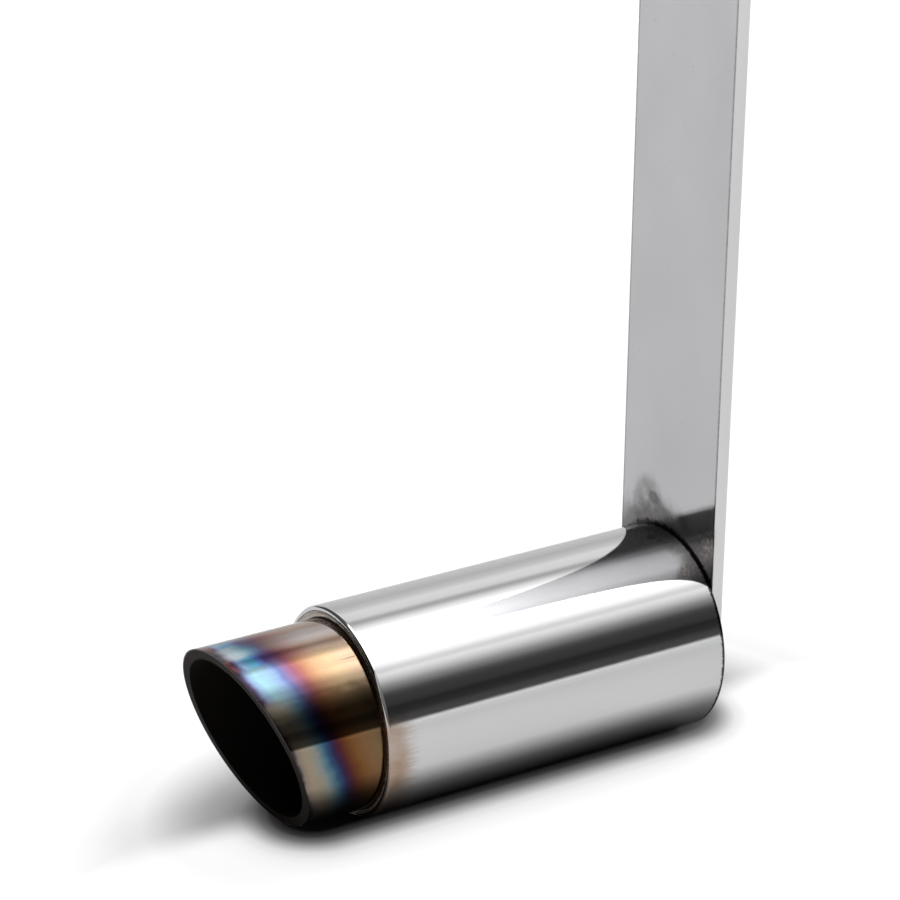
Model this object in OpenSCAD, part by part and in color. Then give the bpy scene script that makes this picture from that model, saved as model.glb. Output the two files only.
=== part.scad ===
// Dress-up exhaust for a 1/10 scale drift car, in stainless steel.
// A straight canister with a stepped, slash-cut tip hangs from the foot of a long flat strap.
// Millimetres, +Z up. The tip points to -Y. The origin is where the canister's axis
// crosses the back face of the strap, the face that is bolted to the car.

/* [Canister] */
// Outer diameter of the canister tube
canister_d = 20; // [16:0.5:26]
// Wall of the canister tube
canister_wall = 0.8; // [0.6:0.1:1]
// Length of the canister tube
canister_len = 36.3; // [20:0.1:60]

/* [Tip] */
// Outer diameter of the tip tube, a loose fit in the canister
tip_d = 17.9; // [16:0.1:17.9]
// How far the tip was brazed off the canister's axis, towards +X
tip_shift = 0.22; // [0:0.01:0.22]
// Wall of the tip tube
tip_wall = 1; // [0.6:0.1:1.2]
// Length of the tip on its axis, in front of the canister
tip_reach = 9.4; // [5:0.1:20]
// Length of the tip that slides into the canister
tip_insert = 12; // [6:0.5:18]
// Slash cut, measured from a square cut
slash_angle = 18.6; // [0:0.1:35]
// Turn of the longest point from straight up, away from +X
slash_clock = 19.5; // [-90:0.1:90]

/* [Strap] */
// Width of the strap
strap_w = 15.4; // [10:0.1:16]
// Thickness of the strap
strap_t = 1.3; // [1:0.1:2]
// Whole length of the strap, with its round foot
strap_len = 100; // [80:1:140]
// Sideways offset of the strap from the canister's axis
strap_offset = -0.3; // [-0.6:0.05:0.6]
// Radius of the strap's two top corners
strap_corner = 2; // [0.5:0.5:4]
// Diameter of the two M3 clearance holes
hole_d = 3.2; // [3:0.1:3.6]
// Distance from the top edge to the upper hole
hole_edge = 6; // [4:0.5:10]
// Distance between the two holes
hole_pitch = 12; // [8:1:20]

/* [Rear disc and filler metal] */
// Thickness of the disc that closes the canister's rear
disc_t = 1.2; // [0.8:0.1:2]
// Depth and width of the weld groove round the disc
groove = 0.7; // [0.4:0.1:0.8]
// Chamfer at the canister's mouth, filled by the braze ring
mouth_chamfer = 0.4; // [0.2:0.1:0.5]
// Set-back of the braze ring from the canister's mouth
braze_recess = 0.1; // [0.05:0.05:0.2]
// How far the filler runs into the gap behind the chamfer
braze_depth = 0.8; // [0.4:0.1:2]
// Leg of the fillet welds that hold the strap's foot
fillet = 0.6; // [0.3:0.1:0.8]
// Length of each straight fillet weld beside the strap
side_weld_len = 4.5; // [2:0.5:5]
// Angle that the weld round the strap's foot covers
foot_weld_angle = 150; // [60:10:170]

/* [Hidden] */
$fn = 96;

canister_r = canister_d / 2;
bore_r = canister_r - canister_wall;
tip_r = tip_d / 2;
tip_bore_r = tip_r - tip_wall;
strap_r = strap_w / 2;
strap_top = strap_len - strap_r;
rear_y = -strap_t;                    // the canister's rear end, on the strap's front face
mouth_y = rear_y - canister_len;      // the canister's front end
slash_y = mouth_y - tip_reach;        // the slash cut, on the axis
tip_root_y = mouth_y + tip_insert;    // the tip's hidden end
slash_tool = 60;                      // side of the block that cuts the slash
past = 1;                             // how far a cutter runs past a face

// A solid of revolution about the Y axis. The outline is [radius, distance towards -Y].
module turned(outline, angle = 360) {
    rotate([90, 0, 0]) rotate_extrude(angle = angle) polygon(outline);
}

// A rod on the Y axis from y0 towards -Y
module rod_y(r, y0, len) {
    translate([0, y0, 0]) rotate([90, 0, 0]) cylinder(r = r, h = len);
}

// A right triangle for a fillet weld, with its square corner at the origin
module fillet_section() {
    polygon([[0, 0], [fillet, 0], [0, fillet]]);
}

// The large tube, chamfered inside its mouth for the braze
module canister_tube() {
    color([0.80, 0.80, 0.81])
    turned([
        [bore_r, -rear_y],
        [canister_r, -rear_y],
        [canister_r, -mouth_y],
        [bore_r + mouth_chamfer, -mouth_y],
        [bore_r, -mouth_y - mouth_chamfer]
    ]);
}

// The small tube, slid into the canister and cut off at a slant
module tip_tube() {
    color([0.52, 0.36, 0.24])
    difference() {
        translate([tip_shift, 0, 0])
            rod_y(tip_r, tip_root_y, tip_insert + tip_reach + slash_tool / 2);
        translate([tip_shift, 0, 0])
            rod_y(tip_bore_r, tip_root_y + past, tip_insert + tip_reach + slash_tool);
        translate([tip_shift, slash_y, 0])
            rotate([0, -slash_clock, 0])
            rotate([slash_angle, 0, 0])
            translate([-slash_tool / 2, -slash_tool, -slash_tool / 2])
            cube(slash_tool);
    }
}

// Filler metal between the canister's mouth and the tip: wide where the tip stands off the bore
module tip_braze_ring() {
    front = -mouth_y - braze_recess;
    back = -mouth_y - mouth_chamfer;
    color([0.30, 0.24, 0.20])
    difference() {
        turned([
            [0, front],
            [bore_r + mouth_chamfer - braze_recess, front],
            [bore_r, back],
            [bore_r, back - braze_depth],
            [0, back - braze_depth]
        ]);
        translate([tip_shift, mouth_y + canister_len / 2, 0])
            rod_y(tip_r, 0, canister_len);
    }
}

// The disc that closes the rear, flush with the tube's end and grooved for its weld
module rear_disc() {
    color([0.62, 0.62, 0.64])
    turned([
        [0, -rear_y],
        [bore_r - groove, -rear_y],
        [bore_r, -rear_y + groove],
        [bore_r, -rear_y + disc_t],
        [0, -rear_y + disc_t]
    ]);
}

// The weld that fills the groove, dressed flush so that the strap lies flat on it
module rear_disc_weld() {
    color([0.45, 0.43, 0.42])
    turned([
        [bore_r - groove, -rear_y],
        [bore_r, -rear_y],
        [bore_r, -rear_y + groove]
    ]);
}

// The strap's outline: round at the foot, and with rounded corners at the top
module strap_outline() {
    circle(r = strap_r);
    translate([-strap_r, 0]) square([strap_w, strap_top - strap_corner]);
    translate([strap_corner - strap_r, 0]) square([strap_w - 2 * strap_corner, strap_top]);
    for (side = [-1, 1])
        translate([side * (strap_r - strap_corner), strap_top - strap_corner])
        circle(r = strap_corner);
}

// The flat strap, with two holes for the screws that hold it to the car
module mount_strap() {
    color([0.72, 0.72, 0.74])
    difference() {
        translate([strap_offset, 0, 0])
            rotate([90, 0, 0])
            linear_extrude(strap_t) strap_outline();
        for (i = [0, 1])
            translate([strap_offset, past, strap_top - hole_edge - i * hole_pitch])
            rotate([90, 0, 0]) cylinder(d = hole_d, h = strap_t + 2 * past);
    }
}

// One straight fillet weld beside the strap. side is 1 on the +X side and -1 on the -X side.
module side_weld(side) {
    color([0.40, 0.38, 0.37])
    translate([strap_offset + side * strap_r, rear_y, 0])
        mirror([side < 0 ? 1 : 0, 0, 0])
        linear_extrude(side_weld_len) fillet_section();
}

module strap_weld_left() {
    side_weld(-1);
}

module strap_weld_right() {
    side_weld(1);
}

// The fillet weld round the strap's foot
module strap_foot_weld() {
    color([0.40, 0.38, 0.37])
    translate([strap_offset, 0, 0])
        rotate([0, 90 + foot_weld_angle / 2, 0])
        turned([
            [strap_r, -rear_y],
            [strap_r + fillet, -rear_y],
            [strap_r, -rear_y - fillet]
        ], foot_weld_angle);
}

canister_tube();
tip_tube();
tip_braze_ring();
rear_disc();
rear_disc_weld();
mount_strap();
strap_weld_left();
strap_weld_right();
strap_foot_weld();
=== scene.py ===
import math

import bpy
from mathutils import Matrix, Vector


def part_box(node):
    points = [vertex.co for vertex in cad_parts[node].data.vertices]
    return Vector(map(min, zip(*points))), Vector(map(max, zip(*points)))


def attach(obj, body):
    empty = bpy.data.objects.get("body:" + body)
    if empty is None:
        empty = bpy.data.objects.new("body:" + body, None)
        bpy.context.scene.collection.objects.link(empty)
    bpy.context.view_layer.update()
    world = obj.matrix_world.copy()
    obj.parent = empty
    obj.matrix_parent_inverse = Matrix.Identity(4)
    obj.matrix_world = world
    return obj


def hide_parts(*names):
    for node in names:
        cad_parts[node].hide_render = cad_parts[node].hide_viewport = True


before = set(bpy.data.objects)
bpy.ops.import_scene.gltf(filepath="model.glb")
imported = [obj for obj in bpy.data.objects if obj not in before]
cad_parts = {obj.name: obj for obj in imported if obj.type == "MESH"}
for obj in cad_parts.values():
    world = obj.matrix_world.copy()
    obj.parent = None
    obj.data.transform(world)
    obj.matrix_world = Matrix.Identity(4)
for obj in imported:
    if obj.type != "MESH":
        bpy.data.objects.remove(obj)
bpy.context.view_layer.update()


# ---------------------------------------------------------------- camera
# A long portrait lens on a tripod, a little above the exhaust and to the right of its mouth.
# It is turned half a degree about its own axis, as a hand-levelled camera is.
mm = 0.001
camera_azimuth = math.radians(59.12)
camera_elevation = math.radians(23.81)
camera_roll = math.radians(0.53)
camera_distance = 285 * mm
camera_target = Vector((1.41, -26.54, 24.35)) * mm

camera_data = bpy.data.cameras.new("camera")
camera_data.lens = 127.3
camera_data.sensor_width = 36
camera_data.clip_start = 0.01
camera_data.clip_end = 20
camera = bpy.data.objects.new("camera", camera_data)
bpy.context.scene.collection.objects.link(camera)
aim = Matrix.Rotation(camera_azimuth, 4, "Z") @ Matrix.Rotation(math.pi / 2 - camera_elevation, 4, "X")
back = aim.to_3x3() @ Vector((0, 0, 1))
camera.matrix_world = (
    Matrix.Translation(camera_target + camera_distance * back) @ aim @ Matrix.Rotation(camera_roll, 4, "Z")
)
bpy.context.scene.camera = camera


# ---------------------------------------------------------------- studio
# A pale table under a long softbox, with a white wall to the left and a dark room to the right.
# Polished steel shows nothing but its surroundings, so these are laid out as bands along the tube.
# Each band is a bearing about the tube's axis, in degrees up from +X, and how bright it is there.
bpy.context.scene.view_settings.view_transform = "Standard"
brightest = 4.2
table_light = 1.05
floor_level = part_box("canister_tube")[0].z


def add_node(tree, kind, inputs=None, **settings):
    """Adds a shader node. A value in inputs is a number, a colour, or another node's output."""
    made = tree.nodes.new("ShaderNode" + kind)
    for name, value in settings.items():
        setattr(made, name, value)
    for name, value in (inputs or {}).items():
        if isinstance(value, bpy.types.NodeSocket):
            tree.links.new(value, made.inputs[name])
        else:
            made.inputs[name].default_value = value
    return made


def math_node(tree, operation, *values, clamp=False):
    """Adds a Math node and returns its output."""
    made = add_node(tree, "Math", dict(enumerate(values)), operation=operation, use_clamp=clamp)
    return made.outputs[0]


def spread(tree, value, low, high, out_low=0.0, out_high=1.0, smooth=False):
    """Carries value from the range low..high to out_low..out_high, and holds it there."""
    made = add_node(
        tree,
        "MapRange",
        {"Value": value, "From Min": low, "From Max": high, "To Min": out_low, "To Max": out_high},
        interpolation_type="SMOOTHSTEP" if smooth else "LINEAR",
    )
    return made.outputs["Result"]


def color_ramp(tree, factor, stops, interpolation="LINEAR"):
    """Adds a Color Ramp whose stops are (position, colour or grey), and returns its colour."""
    made = add_node(tree, "ValToRGB", {"Fac": factor})
    made.color_ramp.interpolation = interpolation
    elements = made.color_ramp.elements
    while len(elements) < len(stops):
        elements.new(1.0)
    for element, (position, color) in zip(elements, stops):
        element.position = position
        element.color = (*color, 1) if isinstance(color, tuple) else (color, color, color, 1)
    return made.outputs["Color"]


def mix_colors(tree, factor, first, second, blend="MIX"):
    """Adds a colour Mix node and returns its result."""
    made = tree.nodes.new("ShaderNodeMix")
    made.data_type = "RGBA"
    made.blend_type = blend
    for socket, value in ((0, factor), (6, first), (7, second)):
        if isinstance(value, bpy.types.NodeSocket):
            tree.links.new(value, made.inputs[socket])
        else:
            made.inputs[socket].default_value = value if socket == 0 else (*value, 1)
    return made.outputs[2]


def light_bands(tree, bearing, bands):
    """The light by bearing about the tube's axis, in degrees up from +X."""
    stops = [((angle + 180) / 360, level / brightest) for angle, level in bands]
    return color_ramp(tree, bearing, stops)


def bearing_of(tree, way):
    """The bearing of a direction about the tube's axis, from 0 for -180 degrees to 1 for 180."""
    turned = math_node(tree, "ARCTAN2", way.outputs["Z"], way.outputs["X"])
    return spread(tree, turned, -math.pi, math.pi)


softbox_bands = [
    (63, 1.15), (67, 1.6), (72, 1.85), (78, 3.0), (84, brightest), (104, brightest), (110, 2.2), (114, 1.6),
    (119, 1.2),
]
front_bands = [
    (62, 1.0), (72, 1.8), (80, 2.6), (90, brightest), (104, brightest), (112, 3.9), (117, 2.6), (121, 1.6),
]
world = bpy.data.worlds.new("studio")
bpy.context.scene.world = world
world.use_nodes = True
room = world.node_tree
room.nodes.clear()
direction = add_node(room, "TexCoord").outputs["Generated"]
way = add_node(room, "SeparateXYZ", {"Vector": direction})
bearing = bearing_of(room, way)
behind = light_bands(room, bearing, [
    (-180, table_light), (2.2, table_light), (4.0, 0.09), (10, 0.08), (14, 0.042), (21, 0.028),
    (25, 0.055), (33, 0.068), (37, 0.11), (41, 0.26), (45, 0.43), (49, 0.74), (53, 1.03), (57, 1.3),
    (61, 1.05), *softbox_bands, (123, 0.8), (126.5, 0.58), (129, 0.72), (133, 1.08), (144, 1.17),
    (151, 0.93), (163, 0.78), (180, 0.95),
])
in_front = light_bands(room, bearing, [
    (-180, table_light), (2.2, table_light), (5, 0.15), (40, 0.25), (61.5, 0.8), (62, 0.0), (121, 0.0),
    (121.5, 0.4), (127, 0.16), (132, 0.10), (174, 0.10), (180, 0.2),
])
ahead_or_behind = spread(room, way.outputs["Y"], -0.03, 0.03, smooth=True)
surroundings = mix_colors(room, ahead_or_behind, in_front, behind)
# The camera's own rays that miss the table see plain white.
seen_direct = add_node(room, "LightPath").outputs["Is Camera Ray"]
surroundings = mix_colors(room, seen_direct, surroundings, (1, 1, 1))
sky = add_node(room, "Background", {"Color": surroundings, "Strength": brightest})
add_node(room, "OutputWorld", {"Surface": sky.outputs["Background"]})

# The softbox's front half is near enough to light the table and to show in the strap. It is hottest
# across its middle, half as bright above the tube, and fades out towards its front edge.
softbox_height = 300 * mm
softbox_front = -215 * mm
softbox_edge_bearings = (121, 62)
hot_spot = 2
softbox_sides = [softbox_height / math.tan(math.radians(angle)) for angle in softbox_edge_bearings]
softbox_width = softbox_sides[1] - softbox_sides[0]
softbox_light = bpy.data.lights.new("softbox", "AREA")
softbox_light.shape = "RECTANGLE"
softbox_light.size = softbox_width
softbox_light.size_y = -softbox_front
softbox_light.energy = math.pi * softbox_width * -softbox_front
softbox_light.use_nodes = True
lamp = softbox_light.node_tree
place = add_node(lamp, "NewGeometry").outputs["Position"]
way = add_node(lamp, "SeparateXYZ", {"Vector": place})
glow = light_bands(lamp, bearing_of(lamp, way), front_bands)
along = spread(lamp, way.outputs["Y"], softbox_front, 0.0)
fade = color_ramp(lamp, along, [
    (0.0, 0.03), (0.12, 0.14), (0.20, 0.20), (0.26, 0.24), (0.31, 0.29), (0.36, 0.38), (0.41, 0.5),
    (0.46, 0.8), (0.52, 1.0), (0.62, 1.0), (0.7, 0.5),
])
glow = mix_colors(lamp, 1.0, glow, fade, blend="MULTIPLY")
lamp.links.new(glow, lamp.nodes["Emission"].inputs["Color"])
lamp.nodes["Emission"].inputs["Strength"].default_value = hot_spot * brightest
softbox = bpy.data.objects.new("softbox", softbox_light)
softbox.location = (sum(softbox_sides) / 2, softbox_front / 2, softbox_height)
softbox.visible_camera = False
bpy.context.scene.collection.objects.link(softbox)


def deselect_all():
    for thing in list(bpy.context.selected_objects):
        thing.select_set(False)
    bpy.context.view_layer.objects.active = None


# The table's colour holds a painted shadow. It is nearly black under the tube and pale 16 mm from it.
# For the camera's own rays only, it also glows strongly from about 5 mm out, as painted light that lifts the
# painted shadow, so that the shadow seen directly is much tighter and lighter than the one mirrored in the
# steel.
# Beyond 60 mm it glows faintly for all rays, to meet the white backdrop.
table_radius = 2.5
shadow_middle = -20.5 * mm
shadow_half_length = 19.5 * mm
shadow_reach = 30 * mm
backdrop_from = 60 * mm
backdrop_full = 350 * mm
backdrop_glow = 0.25

deselect_all()
bpy.ops.mesh.primitive_circle_add(
    vertices=96, radius=table_radius, fill_type="NGON", location=(0, 0, floor_level)
)
table = bpy.context.active_object
table.name = "table"
bpy.ops.object.transform_apply()
table_with_painted_shadow = bpy.data.materials.new("table_with_painted_shadow")
table_with_painted_shadow.use_nodes = True
tree = table_with_painted_shadow.node_tree
shader = tree.nodes["Principled BSDF"]
shader.inputs["Roughness"].default_value = 0.9
shader.inputs["Specular IOR Level"].default_value = 0.1
on_table = add_node(tree, "TexCoord").outputs["Object"]
spot = add_node(tree, "SeparateXYZ", {"Vector": on_table})
ahead = math_node(tree, "ABSOLUTE", math_node(tree, "SUBTRACT", spot.outputs["Y"], shadow_middle))
ahead = math_node(tree, "MAXIMUM", math_node(tree, "SUBTRACT", ahead, shadow_half_length), 0.0)
gap = add_node(tree, "CombineXYZ", {"X": spot.outputs["X"], "Y": ahead, "Z": 0.0}).outputs["Vector"]
gap = add_node(tree, "VectorMath", {0: gap}, operation="LENGTH").outputs["Value"]
near_tube = spread(tree, gap, 0.0, shadow_reach)
# Painted shadow: the table's colour goes from nearly black under the tube to pale further out.
painted_contact_shadow = color_ramp(tree, near_tube, [
    (0.0, 0.02), (0.18, 0.055), (0.25, 0.12), (0.32, 0.19), (0.36, 0.28), (0.41, 0.40), (0.47, 0.53),
    (0.53, 0.63),
])
tree.links.new(painted_contact_shadow, shader.inputs["Base Color"])
# Painted light: a glow seen by the camera only, which lightens the painted shadow beside the tube.
shadow_glow = color_ramp(tree, near_tube, [
    (0.10, 0.0), (0.133, 0.03), (0.167, 0.16), (0.20, 0.42), (0.233, 0.70), (0.27, 0.81), (0.30, 0.84),
    (0.333, 0.82), (0.367, 0.76), (0.40, 0.66), (0.467, 0.46), (0.533, 0.34), (0.60, 0.27), (0.8, 0.20),
])
right_side = spread(tree, spot.outputs["X"], -4 * mm, 1 * mm, 0.3, 1.0, smooth=True)
right_side = math_node(tree, "MAXIMUM", right_side, spread(tree, gap, 14 * mm, 26 * mm))
shadow_glow = math_node(tree, "MULTIPLY", shadow_glow, right_side)
seen_direct = add_node(tree, "LightPath").outputs["Is Camera Ray"]
shadow_glow = math_node(tree, "MULTIPLY", shadow_glow, seen_direct)
far = add_node(tree, "VectorMath", {0: on_table}, operation="LENGTH").outputs["Value"]
far_glow = spread(tree, far, backdrop_from, backdrop_full, 0.0, backdrop_glow, smooth=True)
table_glow = math_node(tree, "ADD", shadow_glow, far_glow)
shader.inputs["Emission Color"].default_value = (1, 1, 1, 1)
tree.links.new(table_glow, shader.inputs["Emission Strength"])
table.data.materials.append(table_with_painted_shadow)


# ---------------------------------------------------------------- canister tube
# Drawn stainless steel tube, 20 mm outside, faced square at both ends and mirror polished.
# The mouth is chamfered inside for the filler that holds the tip.
canister_low, canister_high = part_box("canister_tube")
canister_r = canister_high.x
canister_wall = 0.8 * mm
canister_bore_r = canister_r - canister_wall
mouth_y = canister_low.y
rear_y = canister_high.y
mouth_chamfer = 0.4 * mm
mouth_round = 0.37 * mm
end_round = 0.06 * mm
on_edge = 0.01 * mm
beside_edge = 0.05 * mm
relief_height = 0.0006 * mm
tube_sides = 256
cross_section_turn = (math.pi / 2, 0, 0)
clean_steel = (0.60, 0.60, 0.605)
straw_tint = (0.36, 0.25, 0.175)
soot = (0.006, 0.005, 0.004)


def add_tube(radius, from_y, to_y, center_x=0.0):
    """Adds an open tube on the Y axis to the mesh or scene being worked on."""
    bpy.ops.mesh.primitive_cylinder_add(
        vertices=tube_sides,
        radius=radius,
        depth=from_y - to_y,
        end_fill_type="NOTHING",
        location=(center_x, (from_y + to_y) / 2, 0),
        rotation=cross_section_turn,
    )


def start_piece(name):
    """Names the new primitive and puts its place into its mesh."""
    piece = bpy.context.active_object
    piece.name = name
    piece.data.name = name
    bpy.ops.object.transform_apply(location=True, rotation=True, scale=True)
    return piece


def select_edges(piece, wanted):
    """Selects, in edit mode, the edges whose middle and run from end to end pass the test."""
    bpy.ops.object.mode_set(mode="EDIT")
    bpy.ops.mesh.select_mode(type="EDGE")
    bpy.ops.mesh.select_all(action="DESELECT")
    bpy.ops.object.mode_set(mode="OBJECT")
    points = piece.data.vertices
    for edge in piece.data.edges:
        first, second = (points[i].co for i in edge.vertices)
        edge.select = wanted((first + second) / 2, second - first)
    bpy.ops.object.mode_set(mode="EDIT")


def apply_modifier(piece, kind, **settings):
    """Adds a modifier, sets it and applies it."""
    modifier = piece.modifiers.new(kind.lower(), kind)
    for name, value in settings.items():
        setattr(modifier, name, value)
    bpy.ops.object.modifier_apply(modifier=modifier.name)


def round_edges(piece, width, segments, sharper_than):
    """Rounds the edges where the surface turns by more than that many degrees."""
    angle = math.radians(sharper_than)
    apply_modifier(piece, "BEVEL", width=width, segments=segments, limit_method="ANGLE", angle_limit=angle)


def finish_piece(piece, material, node_name):
    """Smooths a finished piece, gives it its finish, and puts it in its CAD node's place."""
    bpy.ops.object.mode_set(mode="OBJECT")
    bpy.ops.object.shade_smooth()
    apply_modifier(piece, "WEIGHTED_NORMAL", keep_sharp=True)
    piece.data.materials.clear()
    piece.data.materials.append(material)
    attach(piece, "root")
    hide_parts(node_name)
    piece.select_set(False)


deselect_all()
add_tube(canister_r, rear_y, mouth_y)
canister = start_piece("canister")
apply_modifier(canister, "SOLIDIFY", thickness=canister_wall, offset=-1, use_even_offset=True)
select_edges(
    canister,
    lambda middle, run: middle.y < mouth_y + on_edge
    and math.hypot(middle.x, middle.z) < canister_bore_r + beside_edge,
)
bpy.ops.mesh.bevel(offset=mouth_chamfer, segments=1, affect="EDGES")
select_edges(
    canister,
    lambda middle, run: middle.y < mouth_y + on_edge
    and abs(run.y) < on_edge
    and math.hypot(middle.x, middle.z) > canister_r - beside_edge,
)
bpy.ops.mesh.bevel(offset=mouth_round, segments=6, affect="EDGES")
bpy.ops.object.mode_set(mode="OBJECT")
round_edges(canister, end_round, 4, 40)


def start_material(name):
    """A new material. Returns it, its tree, its shader and the position on the object in millimetres."""
    made = bpy.data.materials.new(name)
    made.use_nodes = True
    tree = made.node_tree
    place = add_node(tree, "TexCoord").outputs["Object"]
    place = add_node(tree, "VectorMath", {0: place, "Scale": 1000.0}, operation="SCALE").outputs[0]
    return made, tree, tree.nodes["Principled BSDF"], place


def noise(tree, place, stretch, detail=2.0, roughness=0.5):
    """Noise between 0 and 1. stretch is its number of cells in each millimetre along X, Y and Z."""
    scaled = add_node(tree, "VectorMath", {0: place, 1: stretch}, operation="MULTIPLY").outputs[0]
    inputs = {"Vector": scaled, "Scale": 1.0, "Detail": detail, "Roughness": roughness}
    return add_node(tree, "TexNoise", inputs).outputs["Fac"]


def around_axis(tree, place, center_x=0.0):
    """The distance from the tube's axis and the position measured round it, in millimetres."""
    parts = add_node(tree, "SeparateXYZ", {"Vector": place})
    x = math_node(tree, "SUBTRACT", parts.outputs["X"], center_x)
    squared = math_node(tree, "MULTIPLY", x, x)
    squared = math_node(tree, "MULTIPLY_ADD", parts.outputs["Z"], parts.outputs["Z"], squared)
    return math_node(tree, "SQRT", squared), x, parts.outputs["Y"], parts.outputs["Z"]


def bump(tree, height, distance):
    """A bump of that depth in metres."""
    made = add_node(tree, "Bump", {"Height": height, "Strength": 1.0, "Distance": distance})
    return made.outputs["Normal"]


canister_length = (rear_y - mouth_y) / mm
canister_finish, tree, shader, place = start_material("canister_polish")
radius, x, y, z = around_axis(tree, place)
cloud = noise(tree, place, (0.35, 0.2, 0.35), detail=3.0)
lines = noise(tree, place, (0.3, 14.0, 0.3), detail=3.0)
scuffs = noise(tree, place, (5.0, 0.5, 5.0), detail=4.0, roughness=0.7)
from_mouth = math_node(tree, "SUBTRACT", y, mouth_y / mm)
reach = spread(tree, z, -8.0, 6.0, 2.4, 1.4)
reach = math_node(tree, "MULTIPLY_ADD", scuffs, 3.0, reach)
near_mouth = math_node(tree, "DIVIDE", from_mouth, reach)
near_mouth = spread(tree, near_mouth, 0.25, 1.0, 1.0, 0.0, smooth=True)
low_side = spread(tree, z, 2.0, 5.0, 1.0, 0.06, smooth=True)
tint_amount = math_node(tree, "MULTIPLY", near_mouth, low_side)
rear_blush = spread(tree, from_mouth, canister_length - 4.3, canister_length - 0.3, 0.0, 0.2, smooth=True)
rear_low = spread(tree, z, -1.0, -5.0, 0.0, 1.0, smooth=True)
rear_blush = math_node(tree, "MULTIPLY", rear_blush, rear_low)
tint_amount = math_node(tree, "MAXIMUM", tint_amount, rear_blush)
tint_amount = math_node(tree, "MULTIPLY", tint_amount, spread(tree, cloud, 0.3, 0.6, 0.55, 1.0))
skin = mix_colors(tree, tint_amount, clean_steel, straw_tint)
skin = mix_colors(tree, spread(tree, scuffs, 0.35, 0.75, 0.0, 0.10), skin, (0.42, 0.42, 0.43))
inside = spread(tree, radius, canister_r / mm - 0.45, canister_r / mm - 0.6, 0.0, 1.0)
mouth_zone = spread(tree, from_mouth, 0.3, 0.6, 0.0, 1.0)
inside = math_node(tree, "MULTIPLY", inside, mouth_zone)
rear_burn = math_node(tree, "MULTIPLY_ADD", scuffs, 0.6, from_mouth)
rear_burn = spread(tree, rear_burn, canister_length - 0.05, canister_length + 0.1, 0.0, 0.92, smooth=True)
skin = mix_colors(tree, rear_burn, skin, soot)
shader.inputs["Specular Tint"].default_value = (0.77, 0.77, 0.77, 1)
shader.inputs["Specular IOR Level"].default_value = 0.1
tree.links.new(mix_colors(tree, inside, skin, soot), shader.inputs["Base Color"])
polish = spread(tree, scuffs, 0.3, 0.8, 0.045, 0.11)
polish = math_node(tree, "MULTIPLY_ADD", tint_amount, 0.08, polish)
polish = math_node(tree, "MAXIMUM", polish, math_node(tree, "MULTIPLY", inside, 0.7))
tree.links.new(polish, shader.inputs["Roughness"])
tree.links.new(math_node(tree, "SUBTRACT", 1.0, inside), shader.inputs["Metallic"])
relief = math_node(tree, "MULTIPLY_ADD", cloud, 6.0, lines)
tree.links.new(bump(tree, relief, relief_height), shader.inputs["Normal"])
finish_piece(canister, canister_finish, "canister_tube")


# ---------------------------------------------------------------- tip tube
# Thinner stainless tube, slid loosely into the canister and slash cut after it was polished.
# A torch played on the cut has left the oxide colours in bands that run parallel to it. Round the tube the
# colours come in lit and shaded copies, set for how the light falls on each side, and the crest is paler as
# a painted sheen.
tip_low, tip_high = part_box("tip_tube")
tip_r = (tip_high.x - tip_low.x) / 2
tip_x = (tip_high.x + tip_low.x) / 2
tip_wall = 1.0 * mm
tip_bore_r = tip_r - tip_wall
slash_y = mouth_y - 9.4 * mm
slash_angle = math.radians(18.6)
slash_clock = math.radians(19.5)
slash_rise = Vector((
    -math.tan(slash_angle) * math.sin(slash_clock),
    1.0,
    math.tan(slash_angle) * math.cos(slash_clock),
))
uncut_y = slash_y - 6 * mm
rim_round = 0.2 * mm
tint_reach = 12.0

deselect_all()
add_tube(tip_r, tip_high.y, uncut_y, tip_x)
tip = start_piece("tip")
apply_modifier(tip, "SOLIDIFY", thickness=tip_wall, offset=-1, use_even_offset=True)
bpy.ops.object.mode_set(mode="EDIT")
bpy.ops.mesh.select_all(action="SELECT")
bpy.ops.mesh.bisect(
    plane_co=(tip_x, slash_y, 0), plane_no=-slash_rise.normalized(), clear_outer=True, use_fill=True
)
bpy.ops.object.mode_set(mode="OBJECT")
round_edges(tip, rim_round, 5, 40)

tip_finish, tree, shader, place = start_material("heat_tinted_steel")
radius, x, y, z = around_axis(tree, place, tip_x / mm)
warp = noise(tree, place, (0.22, 0.15, 0.22), detail=3.0)
fine_warp = noise(tree, place, (1.1, 0.6, 1.1), detail=3.0)
scuffs = noise(tree, place, (5.0, 0.8, 5.0), detail=4.0, roughness=0.7)
lines = noise(tree, place, (0.4, 16.0, 0.4), detail=2.0)
heat = add_node(tree, "VectorMath", {0: place, 1: slash_rise}, operation="DOT_PRODUCT").outputs["Value"]
heat = math_node(tree, "SUBTRACT", heat, slash_rise.dot(Vector((tip_x, slash_y, 0))) / mm)
heat = math_node(tree, "MULTIPLY_ADD", warp, 1.1, math_node(tree, "SUBTRACT", heat, 0.55))
heat = math_node(tree, "MULTIPLY_ADD", fine_warp, 0.5, math_node(tree, "SUBTRACT", heat, 0.25))
heat_step = math_node(tree, "DIVIDE", heat, tint_reach, clamp=True)


def tints(stops):
    """The oxide colours by distance behind the cut, in millimetres, as one of the lit and shaded copies for
    the sides of the tube.
    """
    return color_ramp(tree, heat_step, [(at / tint_reach, color) for at, color in stops])


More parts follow.
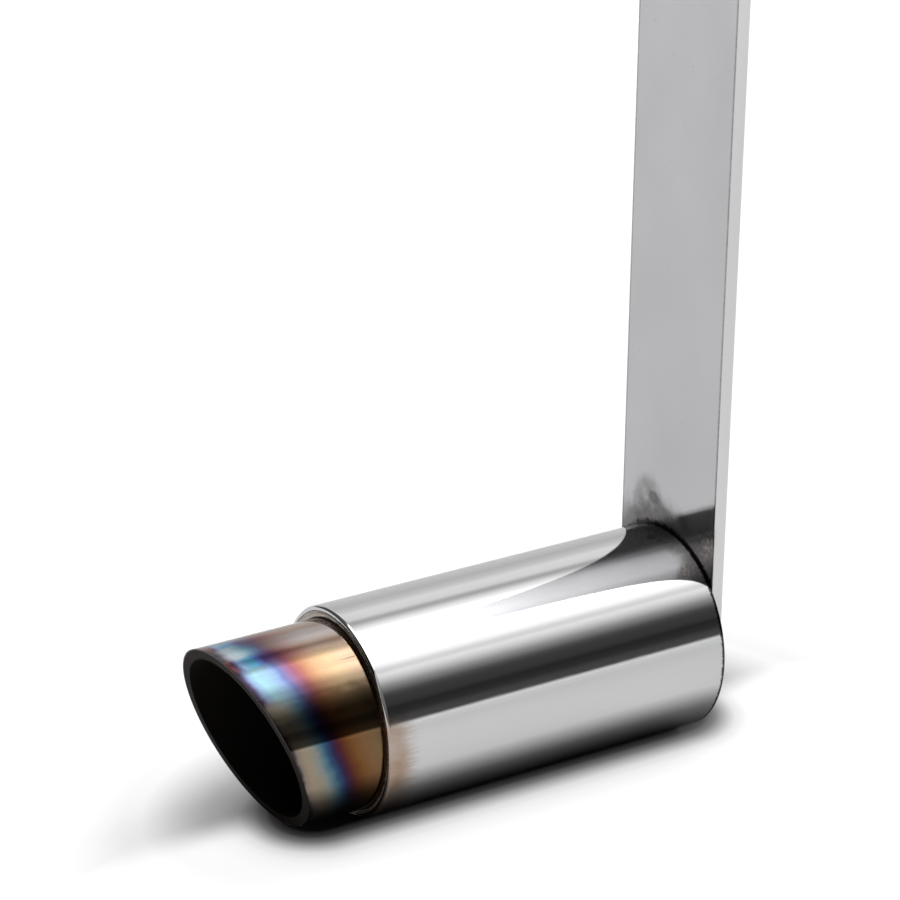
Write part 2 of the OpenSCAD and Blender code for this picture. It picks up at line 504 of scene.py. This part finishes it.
lower_tints = tints([
    (0.0, (0.05, 0.04, 0.04)), (0.3, (0.23, 0.19, 0.16)), (0.8, (0.30, 0.24, 0.17)),
    (1.5, (0.285, 0.255, 0.19)), (2.1, (0.23, 0.25, 0.235)), (2.7, (0.095, 0.175, 0.22)),
    (3.3, (0.030, 0.075, 0.15)), (3.9, (0.030, 0.023, 0.070)), (4.5, (0.068, 0.018, 0.028)),
    (5.2, (0.125, 0.042, 0.016)), (6.0, (0.17, 0.078, 0.026)), (7.0, (0.19, 0.10, 0.046)),
    (8.2, (0.17, 0.11, 0.055)), (9.5, (0.12, 0.08, 0.04)),
])
middle_tints = tints([
    (0.0, (0.012, 0.008, 0.012)), (0.3, (0.030, 0.022, 0.045)), (0.8, (0.10, 0.14, 0.21)),
    (1.5, (0.13, 0.225, 0.25)), (2.4, (0.12, 0.19, 0.24)), (3.0, (0.105, 0.15, 0.24)),
    (3.6, (0.070, 0.082, 0.17)), (4.2, (0.115, 0.066, 0.12)), (4.8, (0.138, 0.050, 0.070)),
    (5.4, (0.17, 0.066, 0.053)), (6.0, (0.21, 0.103, 0.060)), (7.0, (0.25, 0.155, 0.088)),
    (8.5, (0.29, 0.207, 0.12)), (10, (0.29, 0.21, 0.14)),
])
high_tints = tints([
    (0.0, (0.06, 0.02, 0.02)), (0.3, (0.19, 0.070, 0.060)), (0.75, (0.088, 0.045, 0.10)),
    (1.2, (0.24, 0.36, 0.56)), (1.8, (0.12, 0.32, 0.48)), (2.3, (0.075, 0.28, 0.44)),
    (2.8, (0.080, 0.14, 0.36)), (3.3, (0.058, 0.042, 0.15)), (4.2, (0.085, 0.038, 0.105)),
    (4.8, (0.12, 0.043, 0.075)), (5.4, (0.195, 0.070, 0.080)), (6.3, (0.28, 0.13, 0.11)),
    (7.3, (0.35, 0.20, 0.15)), (8.5, (0.39, 0.28, 0.22)),
])
crest_tints_with_painted_sheen = tints([
    (0.0, (0.05, 0.04, 0.05)), (0.45, (0.10, 0.09, 0.10)), (0.8, (0.30, 0.30, 0.35)),
    (1.2, (0.43, 0.47, 0.52)), (1.8, (0.375, 0.485, 0.52)), (2.4, (0.24, 0.37, 0.43)),
    (3.0, (0.12, 0.225, 0.32)), (3.6, (0.090, 0.135, 0.225)), (4.2, (0.103, 0.080, 0.138)),
    (4.8, (0.155, 0.10, 0.107)), (5.6, (0.223, 0.157, 0.134)), (6.5, (0.317, 0.22, 0.21)),
    (7.5, (0.365, 0.31, 0.29)), (9.0, (0.44, 0.39, 0.365)),
])
# The copies are blended by angle from the top. The flanks and the top hold colours lit and shaded for how
# the light falls there, and the crest's paler colours are a painted sheen.
from_top = math_node(tree, "ARCTAN2", math_node(tree, "ABSOLUTE", x), z)
from_top = math_node(tree, "MULTIPLY_ADD", fine_warp, 0.12, math_node(tree, "SUBTRACT", from_top, 0.06))
skin = lower_tints
for tint, begins, full in ((middle_tints, 52, 38), (high_tints, 20, 14), (crest_tints_with_painted_sheen, 10, 5)):
    share = spread(tree, from_top, math.radians(begins), math.radians(full), smooth=True)
    skin = mix_colors(tree, share, skin, tint)
skin = mix_colors(tree, spread(tree, scuffs, 0.45, 0.8, 0.0, 0.12), skin, (0.05, 0.04, 0.035))
# Painted reflection: the tip is darkened within half a millimetre of the mouth, where the mouth's dark face
# shows in it.
painted_mouth_reflection = spread(tree, y, mouth_y / mm - 0.5, mouth_y / mm - 0.1, 0.0, 0.8, smooth=True)
skin = mix_colors(tree, painted_mouth_reflection, skin, (0.06, 0.035, 0.022))
# Painted reflection: a near-black band along the tip's flank, where the dark room shows in the steel.
smoke_cloud_and_dark_reflection = spread(tree, from_top, math.radians(40), math.radians(49), smooth=True)
clear_below = spread(tree, from_top, math.radians(60), math.radians(53), smooth=True)
smoke_cloud_and_dark_reflection = math_node(tree, "MULTIPLY", smoke_cloud_and_dark_reflection, clear_below)
skin = mix_colors(tree, math_node(tree, "MULTIPLY", smoke_cloud_and_dark_reflection, 0.55), skin, (0.01, 0.008, 0.007))
inside = spread(tree, radius, tip_bore_r / mm + 0.12, tip_bore_r / mm + 0.02, 0.0, 1.0)
# The slash cut's face is dark oxide, darkened further as painted shade.
end_face = spread(tree, radius, tip_r / mm - 0.04, tip_r / mm - 0.18, 0.0, 1.0)
skin = mix_colors(tree, end_face, skin, (0.018, 0.013, 0.012))
shader.inputs["Specular Tint"].default_value = (0.75, 0.75, 0.75, 1)
shader.inputs["Specular IOR Level"].default_value = 0.1
tree.links.new(mix_colors(tree, inside, skin, soot), shader.inputs["Base Color"])
matt = math_node(tree, "MAXIMUM", inside, end_face)
polish = spread(tree, scuffs, 0.3, 0.8, 0.05, 0.10)
polish = math_node(tree, "MAXIMUM", polish, math_node(tree, "MULTIPLY", matt, 0.7))
tree.links.new(polish, shader.inputs["Roughness"])
tree.links.new(math_node(tree, "SUBTRACT", 1.0, matt), shader.inputs["Metallic"])
relief = math_node(tree, "MULTIPLY_ADD", warp, 8.0, lines)
tree.links.new(bump(tree, relief, relief_height), shader.inputs["Normal"])
finish_piece(tip, tip_finish, "tip_tube")


# ---------------------------------------------------------------- tip braze ring
# Silver-brazing filler, fed into the chamfer between the mouth and the tip and drawn into the gap.
# The tip stands off centre, so the ring is wider on one side. It is burnt dark beside the tip.
# Further out the filler stays bright.
braze_low, braze_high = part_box("tip_braze_ring")
braze_r = (braze_high.x - braze_low.x) / 2
braze_dip = 0.12 * mm
braze_front_y = braze_low.y

deselect_all()
bpy.ops.mesh.primitive_circle_add(
    vertices=tube_sides, radius=braze_r, location=(0, braze_front_y, 0), rotation=cross_section_turn
)
braze = start_piece("braze_ring")
ring_x, ring_r, ring_y = 0.0, braze_r, braze_front_y
rings = []
for t in (0.15, 0.35, 0.6, 0.85, 1.0):
    dip = braze_dip * math.sin(math.pi * t)
    radius_there = braze_r + (tip_r - braze_r) * t
    rings.append((tip_x * t, radius_there, braze_front_y + dip))
rings.append((tip_x, tip_r, braze_high.y))
rings.append((0.0, canister_bore_r, braze_high.y))
rings.append((0.0, canister_bore_r, mouth_y + mouth_chamfer))
rings.append((0.0, braze_r, braze_front_y))
bpy.ops.object.mode_set(mode="EDIT")
bpy.ops.mesh.select_mode(type="EDGE")
bpy.ops.mesh.select_all(action="SELECT")
for next_x, next_r, next_y in rings:
    step = (next_x - ring_x, next_y - ring_y, 0)
    bpy.ops.mesh.extrude_region_move(TRANSFORM_OT_translate={"value": step})
    scale = next_r / ring_r
    bpy.ops.transform.resize(value=(scale, 1, scale), center_override=(next_x, next_y, 0))
    ring_x, ring_r, ring_y = next_x, next_r, next_y
bpy.ops.mesh.select_all(action="SELECT")
bpy.ops.mesh.remove_doubles(threshold=0.001 * mm)
bpy.ops.object.mode_set(mode="OBJECT")

braze_finish, tree, shader, place = start_material("burnt_braze")
grain = noise(tree, place, (3.0, 3.0, 3.0), detail=4.0, roughness=0.65)
burnt = color_ramp(tree, grain, [
    (0.3, (0.03, 0.018, 0.013)), (0.6, (0.07, 0.042, 0.03)), (0.8, (0.14, 0.09, 0.06)),
])
bright = color_ramp(tree, grain, [(0.3, (0.50, 0.44, 0.39)), (0.7, (0.66, 0.61, 0.56))])
from_tip = math_node(tree, "SUBTRACT", around_axis(tree, place, tip_x / mm)[0], tip_r / mm)
from_tip = math_node(tree, "MULTIPLY_ADD", grain, 0.12, from_tip)
skin = mix_colors(tree, spread(tree, from_tip, 0.13, 0.24, smooth=True), burnt, bright)
tree.links.new(skin, shader.inputs["Base Color"])
tree.links.new(spread(tree, grain, 0.3, 0.8, 0.6, 0.42), shader.inputs["Roughness"])
shader.inputs["Metallic"].default_value = 1.0
tree.links.new(bump(tree, grain, 0.04 * mm), shader.inputs["Normal"])
finish_piece(braze, braze_finish, "tip_braze_ring")


# ---------------------------------------------------------------- rear disc
# A disc turned from stainless bar, a push fit in the canister and grooved round its edge for the weld.
# It was faced on the lathe and left with its fine rings.
disc_low, disc_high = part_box("rear_disc")
disc_r = disc_high.x
disc_edge_round = 0.06 * mm
weld_groove = 0.7 * mm

deselect_all()
bpy.ops.mesh.primitive_cylinder_add(
    vertices=tube_sides,
    radius=disc_r,
    depth=disc_high.y - disc_low.y,
    location=(0, (disc_low.y + disc_high.y) / 2, 0),
    rotation=cross_section_turn,
)
disc = start_piece("rear_plate")
select_edges(
    disc,
    lambda middle, run: middle.y > disc_high.y - on_edge
    and math.hypot(middle.x, middle.z) > disc_r - beside_edge,
)
bpy.ops.mesh.bevel(offset=weld_groove, segments=1, affect="EDGES")
bpy.ops.object.mode_set(mode="OBJECT")
round_edges(disc, disc_edge_round, 2, 30)

disc_finish, tree, shader, place = start_material("faced_steel")
radius, x, y, z = around_axis(tree, place)
lathe_lines = math_node(tree, "MULTIPLY", radius, 9.0)
lathe_lines = add_node(tree, "CombineXYZ", {"X": lathe_lines, "Y": 0.0, "Z": 0.0}).outputs["Vector"]
rings = add_node(tree, "TexNoise", {"Vector": lathe_lines, "Scale": 1.0, "Detail": 3.0}).outputs["Fac"]
smoke_cloud_and_dark_reflection = noise(tree, place, (0.5, 0.5, 0.5), detail=4.0)
scorch = spread(tree, radius, 6.6, 8.6, 0.0, 1.0, smooth=True)
scorch = math_node(tree, "MULTIPLY", scorch, spread(tree, smoke_cloud_and_dark_reflection, 0.3, 0.65, 0.35, 1.0))
skin = mix_colors(tree, spread(tree, rings, 0.3, 0.7), (0.52, 0.52, 0.53), (0.63, 0.63, 0.64))
skin = mix_colors(tree, scorch, skin, (0.30, 0.20, 0.13))
tree.links.new(skin, shader.inputs["Base Color"])
tree.links.new(spread(tree, rings, 0.3, 0.7, 0.22, 0.32), shader.inputs["Roughness"])
shader.inputs["Metallic"].default_value = 1.0
tree.links.new(bump(tree, rings, 0.008 * mm), shader.inputs["Normal"])
finish_piece(disc, disc_finish, "rear_disc")


# ---------------------------------------------------------------- mounting strap
# A length of flat stainless strip, cut round at the foot, drilled for two M3 screws and polished.
# Its foot is welded flat on the canister's rear. The heat has left a grey stain above the canister and a
# brown scorch at the right. A black line along the joint on its front is painted shadow, for the crevice
# there.
strap_low, strap_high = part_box("mount_strap")
strap_w = strap_high.x - strap_low.x
strap_x = (strap_low.x + strap_high.x) / 2
strap_front = strap_low.y / mm
strap_corner = 2 * mm
edge_break = 0.14 * mm
hole_r = 1.6 * mm
hole_rises = [strap_high.z - 6 * mm, strap_high.z - 18 * mm]

deselect_all()
bpy.ops.mesh.primitive_cube_add(size=1, location=(strap_low + strap_high) / 2, scale=strap_high - strap_low)
strap = start_piece("strap")
select_edges(strap, lambda middle, run: middle.z < strap_low.z + on_edge and abs(run.x) < on_edge)
bpy.ops.mesh.bevel(offset=strap_w / 2 - 0.002 * mm, segments=40, affect="EDGES")
select_edges(strap, lambda middle, run: middle.z > strap_high.z - on_edge and abs(run.x) < on_edge)
bpy.ops.mesh.bevel(offset=strap_corner, segments=12, affect="EDGES")
bpy.ops.object.mode_set(mode="OBJECT")
for rise in hole_rises:
    strap.select_set(False)
    bpy.ops.mesh.primitive_cylinder_add(
        vertices=64, radius=hole_r, depth=6 * mm, location=(strap_x, 0, rise), rotation=cross_section_turn
    )
    drill = start_piece("drill")
    drill.select_set(False)
    strap.select_set(True)
    bpy.context.view_layer.objects.active = strap
    apply_modifier(strap, "BOOLEAN", operation="DIFFERENCE", object=drill, solver="EXACT")
    bpy.data.objects.remove(drill)
round_edges(strap, edge_break, 3, 50)

strap_finish, tree, shader, place = start_material("strap_polish")
parts = add_node(tree, "SeparateXYZ", {"Vector": place})
cloud = noise(tree, place, (0.12, 0.12, 0.08), detail=2.0)
lines = noise(tree, place, (9.0, 9.0, 0.25), detail=3.0)
speck = add_node(tree, "TexVoronoi", {"Vector": place, "Scale": 0.55, "Randomness": 1.0}).outputs["Distance"]
speck = spread(tree, speck, 0.035, 0.08, 0.5, 0.0, smooth=True)


def blot(tree, parts, center, size):
    """A soft round mark on the strap: 1 in the middle and 0 at its edge, in millimetres."""
    across = math_node(tree, "SUBTRACT", parts.outputs["X"], center[0])
    across = math_node(tree, "DIVIDE", across, size[0])
    up = math_node(tree, "SUBTRACT", parts.outputs["Z"], center[1])
    up = math_node(tree, "DIVIDE", up, size[1])
    far = math_node(tree, "MULTIPLY_ADD", up, up, math_node(tree, "MULTIPLY", across, across))
    return spread(tree, far, 0.35, 1.0, 1.0, 0.0, smooth=True)


ragged = noise(tree, place, (0.8, 0.8, 0.8), detail=3.0)
stain = blot(tree, parts, (-3.4, 10.4), (3.2, 4.6))
stain = math_node(tree, "MAXIMUM", stain, blot(tree, parts, (-1.5, 9.4), (5.6, 3.4)))
stain = math_node(tree, "MULTIPLY", stain, spread(tree, ragged, 0.3, 0.62, 0.55, 1.0))
core = math_node(tree, "MULTIPLY", blot(tree, parts, (-2.65, 12.3), (1.0, 0.8)), 0.6)
front_only = spread(tree, parts.outputs["Y"], strap_front + 0.1, strap_front + 0.05, 0.0, 1.0)
from_axis = around_axis(tree, place)[0]
grit = noise(tree, place, (2.6, 2.6, 2.6), detail=4.0, roughness=0.7)
# Painted shadow: a black line on the strap's front where it meets the canister, in the crevice between them.
painted_crevice_shadow = math_node(tree, "MULTIPLY_ADD", grit, -1.2, from_axis)
painted_crevice_shadow = math_node(tree, "MULTIPLY", spread(tree, painted_crevice_shadow, 9.9, 9.5, smooth=True), front_only)
near_seam = math_node(tree, "MULTIPLY_ADD", ragged, -2.0, from_axis)
near_seam = spread(tree, near_seam, 12.6, 9.4, 0.0, 0.8, smooth=True)
near_seam = math_node(tree, "MULTIPLY", near_seam, front_only)
scorch = blot(tree, parts, (7.4, 9.8), (4.2, 3.8))
scorch = math_node(tree, "MULTIPLY", scorch, spread(tree, grit, 0.35, 0.6, 0.3, 0.9))
scorch = math_node(tree, "MULTIPLY", scorch, front_only)
off_middle = math_node(tree, "ABSOLUTE", math_node(tree, "SUBTRACT", parts.outputs["X"], strap_x / mm))
half_width = strap_w / mm / 2
on_side = spread(tree, off_middle, half_width - 0.06, half_width - 0.01)
edge_line = spread(tree, off_middle, half_width - 0.34, half_width - 0.16, smooth=True)
edge_line = math_node(tree, "MULTIPLY", edge_line, spread(tree, grit, 0.3, 0.6, 0.25, 0.7))
edge_line = math_node(tree, "MULTIPLY", edge_line, front_only)
stain = math_node(tree, "MULTIPLY", stain, front_only)
core = math_node(tree, "MULTIPLY", core, front_only)
back_scorch = blot(tree, parts, (-0.3, 0.0), (10.5, 11.5))
back_scorch = math_node(tree, "MULTIPLY", back_scorch, spread(tree, ragged, 0.3, 0.7, 0.1, 0.5))
skin = mix_colors(tree, spread(tree, cloud, 0.3, 0.7), (0.435, 0.435, 0.45), (0.475, 0.475, 0.485))
skin = mix_colors(tree, speck, skin, (0.30, 0.30, 0.31))
skin = mix_colors(tree, edge_line, skin, (0.12, 0.12, 0.12))
skin = mix_colors(tree, on_side, skin, (0.68, 0.68, 0.68))
skin = mix_colors(tree, back_scorch, skin, (0.45, 0.35, 0.22))
skin = mix_colors(tree, math_node(tree, "MULTIPLY", stain, 0.8), skin, (0.20, 0.195, 0.195))
skin = mix_colors(tree, core, skin, (0.07, 0.07, 0.07))
skin = mix_colors(tree, scorch, skin, (0.085, 0.06, 0.045))
skin = mix_colors(tree, near_seam, skin, (0.09, 0.085, 0.085))
skin = mix_colors(tree, painted_crevice_shadow, skin, (0.015, 0.012, 0.01))
tree.links.new(skin, shader.inputs["Base Color"])
polish = spread(tree, lines, 0.3, 0.8, 0.07, 0.13)
polish = math_node(tree, "MULTIPLY_ADD", stain, 0.30, polish)
tree.links.new(polish, shader.inputs["Roughness"])
shader.inputs["Metallic"].default_value = 1.0
relief = math_node(tree, "MULTIPLY_ADD", cloud, 6.0, lines)
tree.links.new(bump(tree, relief, 0.0008 * mm), shader.inputs["Normal"])
finish_piece(strap, strap_finish, "mount_strap")


# ---------------------------------------------------------------- rear disc weld
# A fusion weld run round the groove between the disc and the tube, one dab of filler after another.
# It was dressed flush, so that the strap lies flat over it.
groove_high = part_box("rear_disc_weld")[1]
dab_pitch = 0.75 * mm
weld_steps_per_dab = 8


def bead(name, points, thickness, closed):
    """A run of weld along the points. It swells and closes in once for each dab of filler."""
    run = bpy.data.curves.new(name, "CURVE")
    run.dimensions = "3D"
    run.bevel_depth = thickness
    run.bevel_resolution = 4
    run.use_fill_caps = True
    line = run.splines.new("POLY")
    line.points.add(len(points) - 1)
    line.use_cyclic_u = closed
    last = len(points) - 1
    for step, (target, place) in enumerate(zip(line.points, points)):
        target.co = (*place, 1)
        dab = step % weld_steps_per_dab / weld_steps_per_dab
        swell = 0.82 + 0.18 * math.sqrt(1 - dab)
        from_end = min(step, last - step) / weld_steps_per_dab
        ends = 1.0 if closed else min(1.0, 0.35 + 1.3 * from_end)
        target.radius = swell * ends
    made = bpy.data.objects.new(name, run)
    bpy.context.scene.collection.objects.link(made)
    made.select_set(True)
    bpy.context.view_layer.objects.active = made
    bpy.ops.object.convert(target="MESH")
    made = bpy.context.active_object
    bpy.ops.object.mode_set(mode="EDIT")
    bpy.ops.mesh.select_all(action="SELECT")
    bpy.ops.mesh.remove_doubles(threshold=0.002 * mm)
    bpy.ops.mesh.normals_make_consistent(inside=False)
    bpy.ops.object.mode_set(mode="OBJECT")
    return made


def arc_points(center, radius, y, first, last):
    """Points along an arc in a plane square to Y, one for each step of the weld."""
    count = round(radius * abs(last - first) / dab_pitch) * weld_steps_per_dab
    closed = abs(last - first) > 2 * math.pi - 0.001
    turns = [first + (last - first) * i / count for i in range(count + (0 if closed else 1))]
    return [(center + radius * math.cos(turn), y, radius * math.sin(turn)) for turn in turns]


weld_finish, tree, shader, place = start_material("weld_metal")
grain = noise(tree, place, (2.2, 2.2, 2.2), detail=4.0, roughness=0.6)
skin = color_ramp(tree, grain, [
    (0.30, (0.10, 0.11, 0.20)), (0.42, (0.22, 0.13, 0.16)), (0.52, (0.42, 0.29, 0.14)),
    (0.68, (0.52, 0.49, 0.45)),
])
tree.links.new(skin, shader.inputs["Base Color"])
tree.links.new(spread(tree, grain, 0.3, 0.7, 0.34, 0.20), shader.inputs["Roughness"])
shader.inputs["Metallic"].default_value = 1.0
tree.links.new(bump(tree, grain, 0.02 * mm), shader.inputs["Normal"])

ring_thickness = weld_groove / 2
deselect_all()
ring_r = groove_high.x - ring_thickness
ring_points = arc_points(0.0, ring_r, groove_high.y - ring_thickness, 0.0, 2 * math.pi)
ring_weld = bead("disc_weld", ring_points, ring_thickness, closed=True)
finish_piece(ring_weld, weld_finish, "rear_disc_weld")


# ---------------------------------------------------------------- strap welds
# Three short fillet welds in the corner between the strap's edge and the canister's rear:
# one up each side and one round the foot. They are small, and so hidden from in front.
fillet_leg = 0.6 * mm
fillet_core = 0.18 * mm
fillet_thickness = fillet_leg - fillet_core - 0.04 * mm
fillet_y = strap_low.y + fillet_core
weld_inset = 0.2 * mm
side_welds = (
    (-1, "strap_weld_left", "side_weld_left"),
    (1, "strap_weld_right", "side_weld_right"),
)
for side, node_name, piece_name in side_welds:
    side_low, side_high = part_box(node_name)
    side_length = side_high.z - side_low.z
    steps = round(side_length / dab_pitch) * weld_steps_per_dab
    run_length = side_length - 2 * weld_inset
    rises = [side_low.z + weld_inset + run_length * i / steps for i in range(steps + 1)]
    side_x = strap_x + side * (strap_w / 2 + fillet_core)
    deselect_all()
    side_points = [(side_x, fillet_y, rise) for rise in rises]
    side_weld = bead(piece_name, side_points, fillet_thickness, closed=False)
    finish_piece(side_weld, weld_finish, node_name)

foot_half_angle = math.radians(74)
deselect_all()
foot_r = strap_w / 2 + fillet_core
straight_down = -math.pi / 2
foot_points = arc_points(
    strap_x, foot_r, fillet_y, straight_down - foot_half_angle, straight_down + foot_half_angle
)
foot_weld = bead("foot_weld", foot_points, fillet_thickness, closed=False)
finish_piece(foot_weld, weld_finish, "strap_foot_weld")
